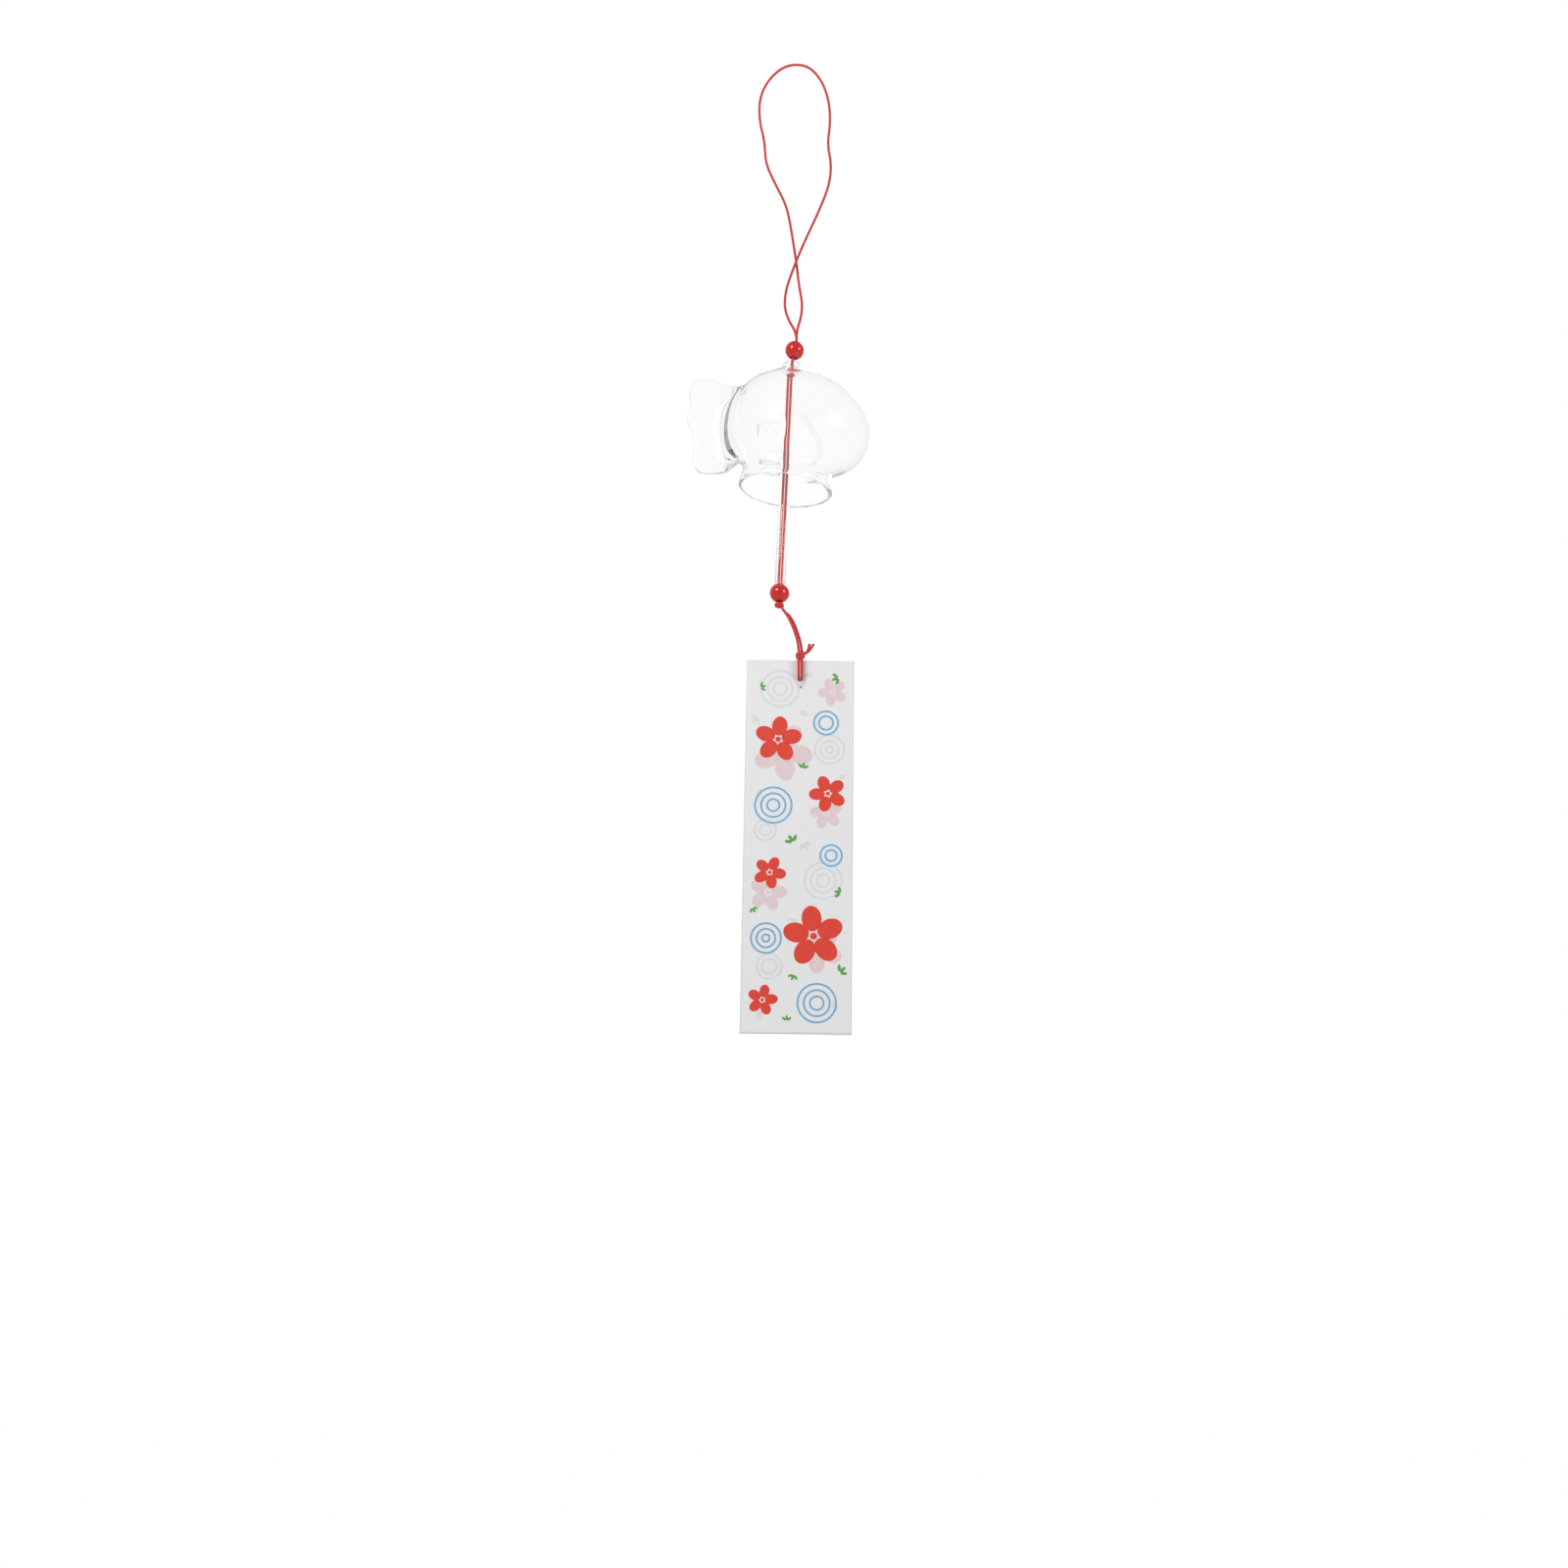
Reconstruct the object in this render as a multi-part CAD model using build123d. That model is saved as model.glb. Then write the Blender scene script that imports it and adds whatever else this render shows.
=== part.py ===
from build123d import *
import math
import os

# Furin wind bell: a clear blown glass goldfish on a doubled red cord, with a
# glass tube as its clapper, two red beads and a paper strip that the wind turns.
# The origin is where a hook carries the cord's loop, +Z is up, and the fish
# looks along +X.

# Red cord, round and braided, with its section drawn as a polygon
cord_diameter = 1.2
cord_radius = cord_diameter / 2
cord_sides = 8
cord_end_taper = 30.0
strand_gap = 0.1
strand_offset = cord_radius + strand_gap / 2
joint_gap = 0.4
strip_joint_gap = 0.6
rest_gap = 0.3
knot_radius = 2.1
knot_end_draw = 0.2
small_knot_turns = 2
tie_knot_turns = 3
small_knot_height = small_knot_turns * cord_diameter
tie_knot_height = tie_knot_turns * cord_diameter

# Beads, moulded in clear red plastic
bead_diameter = 8.0
bead_bore = 3.0
bead_chamfer = 0.25
bead_radius = bead_diameter / 2
bead_seat = math.sqrt(bead_radius**2 - (bead_bore / 2) ** 2)
neck_lean = 9.5
neck_strand_above_bead = 0.8
bead_to_lip = 2.2

# Glass bell, blown with a neck above and an open mouth below
bell_lean = 2.4
wall = 1.2
lip_radius = 4.1
lip_height = 1.6
lip_edge = 0.5
neck_hole = 3.4
neck_land = 1.8
belly_length = 59.0
belly_width = 52.0
nose_offset = 4.7
body_drop = 46.4

# Mouth collar, drawn in below the belly and rounded in the flame. It slants on
# the body, lower towards the nose.
mouth_slant = 3.8
collar_height = 10.5
collar_wall = 1.2
collar_top_radius = 19.0
collar_waist_radius = 18.2
collar_waist_drop = 3.6
mouth_radius = 19.4
rim_thickness = 1.8
rim_sides = 5

# Tail, pressed flat from solid glass and drawn out of the fish's back
tail_reach = 42.8
tail_top = 8.2
tail_bottom = 50.8
tail_root_reach = 14.0
tail_root_thickness = 7.0

# Side fins, small rounded tongues of glass on the flanks
fin_length = 12.0
fin_height = 7.0
fin_thickness = 3.4
fin_edge = 1.1
fin_turn = 15.0
fin_droop = 20.0
fin_stand_out = 1.2
fin_back = 10.0
fin_above_collar = 6.9

# Clapper tube
tube_outer = 4.4
tube_bore = 3.1
tube_length = 58.6
tube_edge = 0.3
tube_edge_most_share = 0.47
tube_hang = 33.0
clapper_lean = 2.5
strip_cord_offset = 1.6

# Paper strip
paper_width = 43.0
paper_length = 150.0
paper_thickness = 0.35
paper_hole = 4.0
paper_hole_drop = 9.0
paper_lean = 0.8
hole_clearance = 0.2
tie_leg = 2.0

# How far a cut runs past what it cuts
cut_overrun = 5.0

# Routes of the cord, chosen by hand. The loop's runs from the front strand at
# the bead, up the right side, over the hook and down the left side again.
loop_route = [
    (0.8, -0.65, -130.0),
    (0.5, -0.65, -127.2),
    (-2.4, -0.9, -122.6),
    (-4.4, -1.0, -116.1),
    (-3.8, -1.0, -108.4),
    (-1.5, -1.0, -100.8),
    (1.5, -1.0, -92.3),
    (4.9, -0.9, -83.7),
    (8.5, -0.4, -75.1),
    (12.0, 0.3, -66.0),
    (15.0, 0.8, -56.8),
    (15.8, 0.7, -47.2),
    (14.1, 0.3, -38.2),
    (15.5, -0.3, -28.1),
    (14.9, -0.5, -17.3),
    (11.7, -0.2, -6.9),
    (5.5, 0.0, 0.6),
    (-3.7, 0.0, 0.6),
    (-11.0, -0.3, -6.2),
    (-15.3, -0.6, -16.0),
    (-15.3, -0.5, -27.0),
    (-12.9, 0.1, -37.2),
    (-12.6, 0.6, -47.0),
    (-8.2, 0.9, -57.3),
    (-3.6, 0.9, -67.1),
    (-1.7, 0.9, -77.2),
    (-0.3, 1.0, -87.3),
    (1.0, 1.0, -96.3),
    (1.8, 1.0, -105.1),
    (3.2, 1.0, -112.8),
    (2.8, 0.9, -119.3),
    (1.3, 0.7, -124.5),
    (0.8, 0.65, -127.4),
    (0.8, 0.65, -130.0),
]
# The doubled cord below the beads, measured from its pivot under the bead knot
left_strand_route = [
    (0.0, -0.65, 0.0),
    (1.6, -0.64, -1.7),
    (3.0, -0.58, -4.4),
    (4.3, -0.52, -7.5),
    (5.4, -0.46, -10.8),
    (6.2, -0.35, -14.0),
    (6.4, -0.2, -16.8),
]
right_strand_route = [
    (0.0, 0.65, 0.0),
    (2.4, 0.64, -1.4),
    (4.1, 0.58, -4.0),
    (5.4, 0.52, -7.2),
    (6.5, 0.46, -10.6),
    (7.4, 0.35, -13.9),
    (7.7, 0.2, -16.8),
]
# The two cut ends above the tie, measured from the middle of the tie knot
front_tail_route = [(1.4, -0.9, 0.3), (3.2, -1.4, 1.5), (3.7, -1.3, 4.4)]
back_tail_route = [(1.5, 0.5, 0.9), (3.9, 0.9, 2.3), (5.3, 0.7, 5.0)]

# Share of each corner's shorter run that its arc takes
arc_share = 0.45

# Sections of the fish from the neck to the collar. Each row gives how far down
# the body it lies, its half length, its half width and how far it stands out
# towards the nose, as shares of the named sizes.
section_shares = [
    (0.000, 0.118, 0.129, 0.00),
    (0.045, 0.135, 0.148, 0.00),
    (0.090, 0.245, 0.265, 0.02),
    (0.140, 0.405, 0.430, 0.08),
    (0.195, 0.580, 0.600, 0.20),
    (0.260, 0.720, 0.735, 0.38),
    (0.360, 0.860, 0.868, 0.63),
    (0.490, 0.957, 0.960, 0.87),
    (0.640, 1.000, 1.000, 1.00),
    (0.800, 0.960, 0.965, 0.92),
    (0.920, 0.842, 0.865, 0.60),
]
# The row at which the hollow opens out under the seat of the neck knot
seat_row = 3

# Outline of one turn of a knot, bottom to top: how far it stands out of the
# groove, as a share of the rib, and how far up it lies, as a share of the turn
rib_shares = [(0.0, 0.0), (0.75, 0.12), (1.0, 0.35), (1.0, 0.65), (0.75, 0.88), (0.0, 1.0)]

# Edge of the tail from its root at the top, round the trailing edge and back to
# its root below: how far back from its root, and how far down from its top
tail_edge_shares = [
    (0.00, 0.17),
    (0.22, 0.115),
    (0.45, 0.06),
    (0.78, 0.00),
    (0.97, 0.06),
    (0.965, 0.16),
    (0.925, 0.25),
    (0.955, 0.35),
    (1.00, 0.44),
    (0.91, 0.53),
    (0.84, 0.65),
    (0.86, 0.77),
    (0.875, 0.88),
    (0.83, 0.985),
    (0.55, 1.00),
    (0.28, 0.97),
    (0.00, 0.86),
]
# Half thickness of the tail, from its root to its edge
tail_plan_shares = [(0.0, 1.0), (0.18, 0.55), (0.45, 0.25), (1.0, 0.18)]

# Places down the leaning cord of the neck, from its pivot at the loop's foot
upper_bead_drop = neck_strand_above_bead + bead_seat
lip_drop = upper_bead_drop + bead_radius + bead_to_lip
neck_knot_drop = lip_drop + neck_land + knot_radius
clapper_pivot_drop = neck_knot_drop + small_knot_height / 2 + joint_gap + cord_radius

# Places down the leaning cord of the clapper, from its pivot under the neck knot
tube_end = tube_hang + tube_length
tube_seat = math.sqrt(bead_radius**2 - (tube_bore / 2 + tube_edge) ** 2)
lower_bead_drop = tube_end + rest_gap + tube_seat
bead_knot_drop = lower_bead_drop + bead_seat + rest_gap + small_knot_height / 2
strip_pivot_drop = bead_knot_drop + small_knot_height / 2 + strip_joint_gap + cord_radius

# Where each length hangs: the neck's cord, the bell on its own axis through the
# lip, the clapper and the cord of the paper strip
loop_foot = Vector(loop_route[0][0], 0, loop_route[0][2])
neck_place = Pos(*loop_foot) * Pos(0, 0, -joint_gap - cord_radius) * Rot(0, neck_lean, 0)
lip_middle = (neck_place * Pos(0, 0, -lip_drop)).position
bell_place = Pos(*lip_middle) * Rot(0, bell_lean, 0)
clapper_pivot = (neck_place * Pos(0, 0, -clapper_pivot_drop)).position
clapper_place = Pos(*clapper_pivot) * Rot(0, clapper_lean, 0)
strip_pivot = (clapper_place * Pos(strip_cord_offset, 0, -strip_pivot_drop)).position


def arc_radii(points):
    """Radius of the arc at each inner corner, as large as its runs allow."""
    radii = []
    for before, corner, after in zip(points, points[1:], points[2:]):
        arriving = Vector(*corner) - Vector(*before)
        leaving = Vector(*after) - Vector(*corner)
        turn = math.radians(arriving.get_angle(leaving))
        shorter = min(arriving.length, leaving.length)
        radii.append(arc_share * shorter / math.tan(turn / 2))
    return radii


def cord_tube(name, points, tapered=False):
    """One length of cord along straight runs joined by tangent arcs."""
    radii = arc_radii(points)
    path = FilletPolyline(*points, radius=radii)
    section = Plane(path @ 0, z_dir=path % 0) * RegularPolygon(cord_radius, cord_sides)
    tube = sweep(section, path)
    print(
        name,
        "length", round(path.length, 1),
        "least radius", round(min(radii), 1),
        "volume share", round(tube.volume / (section.area * path.length), 4),
    )
    if tapered:
        tube = tube + extrude(section, cord_radius, dir=-(path % 0), taper=cord_end_taper)
    return tube


def straight_strand(across, top, bottom):
    """A straight strand with a tapered top, to turn in its seat."""
    section = Pos(*across, top) * RegularPolygon(cord_radius, cord_sides)
    strand = extrude(section, bottom - top)
    return strand + extrude(section, cord_radius, taper=cord_end_taper)


def wound_knot(turns):
    """A tight knot with the cord's turns showing as ribs round it."""
    foot = -turns * cord_radius
    groove = knot_radius - cord_radius
    outline = [(0, foot)]
    for turn in range(turns):
        at_end = turn in (0, turns - 1)
        rib = cord_radius - knot_end_draw if at_end else cord_radius
        start = foot + turn * cord_diameter
        outline += [(groove + out * rib, start + up * cord_diameter) for out, up in rib_shares[:-1]]
    outline += [(groove, -foot), (0, -foot)]
    return revolve(Plane.XZ * make_face(Polyline(*outline, close=True)), Axis.Z)


def bead():
    """A round bead with a straight bore and broken edges."""
    ball = Sphere(bead_radius) - Cylinder(bead_bore / 2, bead_diameter)
    mouths = ball.edges().filter_by(GeomType.CIRCLE)
    bore_edges = [e for e in mouths if abs(e.radius - bead_bore / 2) < strand_gap]
    return chamfer(bore_edges, bead_chamfer)


def section_place(drop, forward, slant):
    """The middle of a section, turned down at the nose by its slant."""
    return Pos(forward, 0, -drop) * Rot(0, slant, 0)


def belly_section(drop, half_length, half_width, forward, slant):
    """One section of the fish as a wire."""
    ellipse = Wire(Edge.make_ellipse(half_length, half_width))
    return section_place(drop, forward, slant) * ellipse


def belly_rows():
    """Drop, half length, half width, offset and slant of each section."""
    rows = [
        (
            down * body_drop,
            long * belly_length / 2,
            wide * belly_width / 2,
            out * nose_offset,
            down**2 * mouth_slant,
        )
        for down, long, wide, out in section_shares
    ]
    return rows + [(body_drop, collar_top_radius, collar_top_radius, 0, mouth_slant)]


def inset_rows(rows, depth):
    """The same sections, moved inwards square to the wall."""
    moved = []
    for number, (drop, half_length, half_width, forward, slant) in enumerate(rows):
        above = rows[max(number - 1, 0)]
        below = rows[min(number + 1, len(rows) - 1)]
        fall = below[0] - above[0]
        spread = below[1] - above[1]
        slope = math.hypot(fall, spread)
        inward = depth * fall / slope
        downward = depth * spread / slope
        moved.append(
            (drop + downward, half_length - inward, half_width - inward, forward, slant)
        )
    return moved


def fish_outside():
    """The blown body from under the lip to the collar, filled."""
    return Solid.make_loft([belly_section(*row) for row in belly_rows()], ruled=True)


def fish_inside():
    """The space in the body, with the cone that the neck knot seats in."""
    rows = inset_rows(belly_rows(), wall)[seat_row:]
    inside_radius = collar_top_radius - collar_wall
    rows[-1] = (body_drop, inside_radius, inside_radius, 0, mouth_slant)
    hollow = Solid.make_loft([belly_section(*row) for row in rows], ruled=True)
    hole = Pos(0, 0, -neck_land) * Circle(neck_hole / 2)
    drop, half_length, half_width, forward, slant = rows[0]
    opening = section_place(drop, forward, slant) * Ellipse(half_length, half_width)
    return Part() + hollow + loft([hole, opening])


def glass_body():
    """The hollow fish with its lip and the hole for the cord."""
    lip = Pos(0, 0, -lip_height / 2) * Cylinder(lip_radius, lip_height)
    lip = chamfer(lip.edges().filter_by(GeomType.CIRCLE), lip_edge)
    outside = Part() + fish_outside() + lip
    hole = Cylinder(neck_hole / 2, 2 * (neck_land + cut_overrun))
    return outside - fish_inside() - hole


def place_below_belly(shape):
    """Moves a shape made below the collar's top edge to its slanted place."""
    return section_place(body_drop, 0, mouth_slant) * shape


def mouth_collar():
    """The ring below the belly, drawn in at its waist, with a rounded rim."""
    half_rim = rim_thickness / 2
    outline = [(collar_top_radius, 0), (collar_waist_radius, -collar_waist_drop)]
    for side in range(rim_sides + 1):
        turn = math.pi * side / rim_sides
        reach = mouth_radius - half_rim + half_rim * math.cos(turn)
        outline.append((reach, half_rim - collar_height - half_rim * math.sin(turn)))
    outline.append((collar_waist_radius - collar_wall, -collar_waist_drop))
    outline.append((collar_top_radius - collar_wall, 0))
    profile = make_face(Polyline(*outline, close=True))
    return place_below_belly(revolve(Plane.XZ * profile, Axis.Z))


def tail_fin():
    """The flat tail, thick at its root and thin at its wavy edge."""
    length = tail_reach - tail_root_reach
    height = tail_bottom - tail_top
    edge = [
        (-tail_root_reach - back * length, -tail_top - down * height)
        for back, down in tail_edge_shares
    ]
    outline = Spline(*edge)
    side = make_face([outline, Line(outline @ 1, outline @ 0)])
    slab = extrude(Plane.XZ * side, tail_root_thickness, both=True)
    half = tail_root_thickness / 2
    near = [(-tail_root_reach - back * length, -half * thick) for back, thick in tail_plan_shares]
    far = [(x, -y) for x, y in reversed(near)]
    plan = make_face(Polyline(*near, *far, close=True))
    wedge = extrude(Plane((0, 0, -tail_bottom - cut_overrun)) * plan, height + 2 * cut_overrun)
    collar_space = Pos(0, 0, -collar_height / 2) * Cylinder(mouth_radius, collar_height)
    return (slab & wedge) - fish_outside() - place_below_belly(collar_space)


def flank_at(drop, back):
    """How far out the flank lies at a place down and back on the body."""
    rows = belly_rows()
    number = max(n for n, row in enumerate(rows[:-1]) if row[0] <= drop)
    above = rows[number]
    below = rows[number + 1]
    share = (drop - above[0]) / (below[0] - above[0])
    half_length, half_width, forward = [a + (b - a) * share for a, b in zip(above[1:4], below[1:4])]
    return half_width * math.sqrt(1 - ((back + forward) / half_length) ** 2)


def side_fin(side):
    """A small tongue of glass, drawn off one flank and pointing back."""
    outline = Plane.XZ * Ellipse(fin_length / 2, fin_height / 2)
    tongue = extrude(outline, fin_thickness / 2, both=True)
    tongue = chamfer(tongue.edges().filter_by(GeomType.ELLIPSE), fin_edge)
    turned = Rot(0, -fin_droop, side * fin_turn) * tongue
    drop = body_drop - fin_above_collar
    reach = flank_at(drop, fin_back) + fin_stand_out
    return Pos(-fin_back, side * reach, -drop) * turned - fish_outside()


def clapper_tube():
    """The glass tube, its ends eased in the flame."""
    tube = Cylinder(tube_outer / 2, tube_length) - Cylinder(tube_bore / 2, tube_length)
    ends = tube.edges().filter_by(GeomType.CIRCLE)
    edge = min(tube_edge, (tube_outer - tube_bore) / 2 * tube_edge_most_share)
    return Pos(0, 0, -tube_hang - tube_length / 2) * chamfer(ends, edge)


def paper_strip():
    """The strip about the middle of its hole, hanging down."""
    middle = paper_hole_drop - paper_length / 2
    sheet = Pos(0, 0, middle) * Box(paper_width, paper_thickness, paper_length)
    hole = Rot(90, 0, 0) * Cylinder(paper_hole / 2, paper_length)
    return sheet - hole


parts = {}

# The loop over the hook
parts["hanging_loop"] = cord_tube("hanging_loop", loop_route)

# The doubled cord through the upper bead and the neck, with the knot below
neck_knot = Pos(0, 0, -neck_knot_drop) * wound_knot(small_knot_turns)
for name, side in (("neck_strand_front", -1), ("neck_strand_back", 1)):
    strand = straight_strand((0, side * strand_offset), 0, -neck_knot_drop)
    parts[name] = neck_place * (strand - neck_knot)
parts["neck_knot"] = neck_place * neck_knot
parts["upper_bead"] = neck_place * Pos(0, 0, -upper_bead_drop) * bead()

# The glass fish
parts["glass_body"] = bell_place * glass_body()
parts["mouth_collar"] = bell_place * mouth_collar()
parts["tail_fin"] = bell_place * tail_fin()
parts["side_fin_front"] = bell_place * side_fin(-1)
parts["side_fin_back"] = bell_place * side_fin(1)

# The clapper: two strands, the tube on the lower bead, and the bead on its knot
bead_knot = Pos(0, 0, -bead_knot_drop) * wound_knot(small_knot_turns)
for name, side in (("clapper_strand_left", -1), ("clapper_strand_right", 1)):
    strand = straight_strand((side * strand_offset, 0), 0, -bead_knot_drop)
    parts[name] = clapper_place * (strand - bead_knot)
parts["bead_knot"] = clapper_place * bead_knot
parts["clapper_tube"] = clapper_place * clapper_tube()
parts["lower_bead"] = clapper_place * Pos(0, 0, -lower_bead_drop) * bead()

# The doubled cord down to the tie
for name, route in (
    ("strip_strand_left", left_strand_route),
    ("strip_strand_right", right_strand_route),
):
    parts[name] = Pos(*strip_pivot) * cord_tube(name, route, tapered=True)

# The tie above the paper, its two legs round the paper's top edge, its cut ends
left_foot = Vector(*left_strand_route[-1])
right_foot = Vector(*right_strand_route[-1])
tie_knot_middle = strip_pivot + (left_foot + right_foot) * 0.5
tie_knot_middle -= Vector(0, 0, joint_gap + tie_knot_height / 2)
tie_knot = Pos(*tie_knot_middle) * wound_knot(tie_knot_turns)
parts["tie_knot"] = tie_knot
hole_middle = tie_knot_middle - Vector(0, 0, tie_knot_height / 2 + rest_gap + paper_hole_drop)
strand_in_hole = math.sqrt((paper_hole / 2 - hole_clearance - cord_radius) ** 2 - strand_offset**2)
for name, side in (("tie_leg_left", -1), ("tie_leg_right", 1)):
    turn_middle = hole_middle + Vector(side * strand_offset, 0, strand_in_hole + tie_leg)
    knot_side = tie_knot_middle + Vector(side * strand_offset, 0, 0)
    front_leg = Line(
        knot_side + Vector(0, -tie_leg, 0),
        turn_middle + Vector(0, -tie_leg, 0),
    )
    turn = ThreePointArc(
        front_leg @ 1,
        turn_middle + Vector(0, 0, -tie_leg),
        turn_middle + Vector(0, tie_leg, 0),
    )
    back_leg = Line(turn @ 1, knot_side + Vector(0, tie_leg, 0))
    path = Wire([front_leg.edge(), turn.edge(), back_leg.edge()])
    section = Plane(front_leg @ 0, z_dir=front_leg % 0) * RegularPolygon(cord_radius, cord_sides)
    parts[name] = sweep(section, path) - tie_knot
for name, route in (("tie_end_front", front_tail_route), ("tie_end_back", back_tail_route)):
    parts[name] = Pos(*tie_knot_middle) * cord_tube(name, route) - tie_knot

# The paper strip
parts["paper_strip"] = Pos(*hole_middle) * Rot(0, paper_lean, 0) * paper_strip()

os.makedirs("parts", exist_ok=True)
for name, shape in parts.items():
    shape.label = name
    export_step(shape, f"parts/{name}.step")

print("swing pivot", neck_place.position)
print("lip", lip_middle)
print("clapper pivot", clapper_pivot)
print("strip pivot", strip_pivot)
print("tie knot", tie_knot_middle)
print("paper hinge", hole_middle + Vector(0, 0, strand_in_hole))
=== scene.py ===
import bpy, bmesh, math
from mathutils import Matrix, Vector


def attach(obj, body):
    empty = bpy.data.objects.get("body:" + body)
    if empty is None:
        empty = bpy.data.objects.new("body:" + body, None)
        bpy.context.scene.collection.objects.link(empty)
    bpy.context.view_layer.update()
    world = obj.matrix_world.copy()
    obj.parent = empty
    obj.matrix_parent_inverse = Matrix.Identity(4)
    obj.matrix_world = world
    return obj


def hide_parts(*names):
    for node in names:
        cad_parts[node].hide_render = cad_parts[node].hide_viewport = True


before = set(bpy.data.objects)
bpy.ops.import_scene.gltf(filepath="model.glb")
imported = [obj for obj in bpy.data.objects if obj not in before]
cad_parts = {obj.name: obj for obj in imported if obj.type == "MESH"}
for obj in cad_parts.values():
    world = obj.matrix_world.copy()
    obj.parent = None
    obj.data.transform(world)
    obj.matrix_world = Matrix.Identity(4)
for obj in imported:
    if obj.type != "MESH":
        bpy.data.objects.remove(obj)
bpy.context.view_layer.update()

# Camera: it looks up at the bell by about 16 degrees, so that the mouth shows as
# an ellipse, and its axis passes below the middle of the bell. Light is followed
# through many walls of glass before it is let go.
mm = 0.001
camera_tilt = 15.755
walls_followed = 256
camera = bpy.data.objects.new("camera", bpy.data.cameras.new("camera"))
camera.data.lens = 49.72
camera.data.sensor_width = 36
camera.data.shift_x = -0.005
camera.data.shift_y = -0.0425
camera.data.clip_start = 0.01
camera.location = Vector((-1.2, -832.6, -530.3)) * mm
camera.rotation_euler = (math.radians(90 + camera_tilt), 0, 0)
bpy.context.collection.objects.link(camera)
bpy.context.scene.camera = camera
bpy.context.scene.view_settings.view_transform = "Standard"
bpy.context.scene.cycles.transmission_bounces = walls_followed
bpy.context.scene.cycles.glossy_bounces = walls_followed
bpy.context.scene.cycles.max_bounces = walls_followed

# Studio: a white card floor far below, which keeps the bell's soft shadow, a room
# that is white where it is seen and dimmer as a light, and three square soft boxes
# that put square highlights on the beads and the glass.
floor_drop = 900 * mm
floor_size = 8
floor_glow = 1.1
floor_glow_share = 0.86
room_as_light = 0.4
room_as_seen = 1.0
boxes_aim = Vector((0, 0, -0.2))
weld_gap = 0.001 * mm


def seen_directly(nodes, links):
    """1 for what is seen straight or through the glass, and 0 for light and gloss."""
    path = nodes.new("ShaderNodeLightPath")
    either = nodes.new("ShaderNodeMath")
    either.operation = "MAXIMUM"
    links.new(path.outputs["Is Camera Ray"], either.inputs[0])
    links.new(path.outputs["Is Transmission Ray"], either.inputs[1])
    return either.outputs[0]


def finish_of(name, **sockets):
    """A material with these values on its shader's own sockets."""
    material = bpy.data.materials.new(name)
    material.use_nodes = True
    surface = material.node_tree.nodes["Principled BSDF"]
    for socket, value in sockets.items():
        surface.inputs[socket.replace("_", " ")].default_value = value
    return material


def piece_from(name, mesh, material, body, smooth=True):
    """A new piece from a bmesh, with its doubles merged and its faces outward."""
    bmesh.ops.remove_doubles(mesh, verts=mesh.verts, dist=weld_gap)
    bmesh.ops.recalc_face_normals(mesh, faces=mesh.faces)
    data = bpy.data.meshes.new(name)
    mesh.to_mesh(data)
    mesh.free()
    data.materials.append(material)
    data.polygons.foreach_set("use_smooth", [smooth] * len(data.polygons))
    piece = bpy.data.objects.new(name, data)
    bpy.context.collection.objects.link(piece)
    if body:
        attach(piece, body)
    return piece


floor_finish = finish_of("studio_white", Base_Color=(0.9, 0.9, 0.9, 1), Roughness=0.9)
nodes, links = floor_finish.node_tree.nodes, floor_finish.node_tree.links
glow = nodes.new("ShaderNodeEmission")
glow.inputs["Strength"].default_value = floor_glow
glow_share = nodes.new("ShaderNodeMath")
glow_share.operation = "MULTIPLY"
glow_share.inputs[1].default_value = floor_glow_share
links.new(seen_directly(nodes, links), glow_share.inputs[0])
mix = nodes.new("ShaderNodeMixShader")
links.new(glow_share.outputs[0], mix.inputs[0])
links.new(nodes["Principled BSDF"].outputs[0], mix.inputs[1])
links.new(glow.outputs[0], mix.inputs[2])
links.new(mix.outputs[0], nodes["Material Output"].inputs["Surface"])
card = bmesh.new()
bmesh.ops.create_grid(card, x_segments=1, y_segments=1, size=floor_size)
bmesh.ops.translate(card, verts=card.verts, vec=(0, 0, -floor_drop))
piece_from("floor", card, floor_finish, None, smooth=False)

world = bpy.data.worlds.new("room")
world.use_nodes = True
bpy.context.scene.world = world
nodes, links = world.node_tree.nodes, world.node_tree.links
level = nodes.new("ShaderNodeMapRange")
level.inputs["To Min"].default_value = room_as_light
level.inputs["To Max"].default_value = room_as_seen
links.new(seen_directly(nodes, links), level.inputs["Value"])
links.new(level.outputs[0], nodes["Background"].inputs["Strength"])
nodes["Background"].inputs["Color"].default_value = (1, 1, 1, 1)
for name, stand, size, power in (
    ("key_box", (-0.55, -0.75, 0.2), 0.36, 5.0),
    ("fill_box", (0.75, -0.6, -0.1), 0.4, 2.5),
    ("back_box", (0.25, 0.8, 0.3), 0.5, 3.0),
):
    lamp = bpy.data.lights.new(name, "AREA")
    lamp.size = size
    lamp.energy = power
    box = bpy.data.objects.new(name, lamp)
    box.location = stand
    box.rotation_euler = (boxes_aim - Vector(stand)).to_track_quat("-Z", "Y").to_euler()
    box.visible_camera = False
    box.visible_transmission = False
    bpy.context.collection.objects.link(box)

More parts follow.
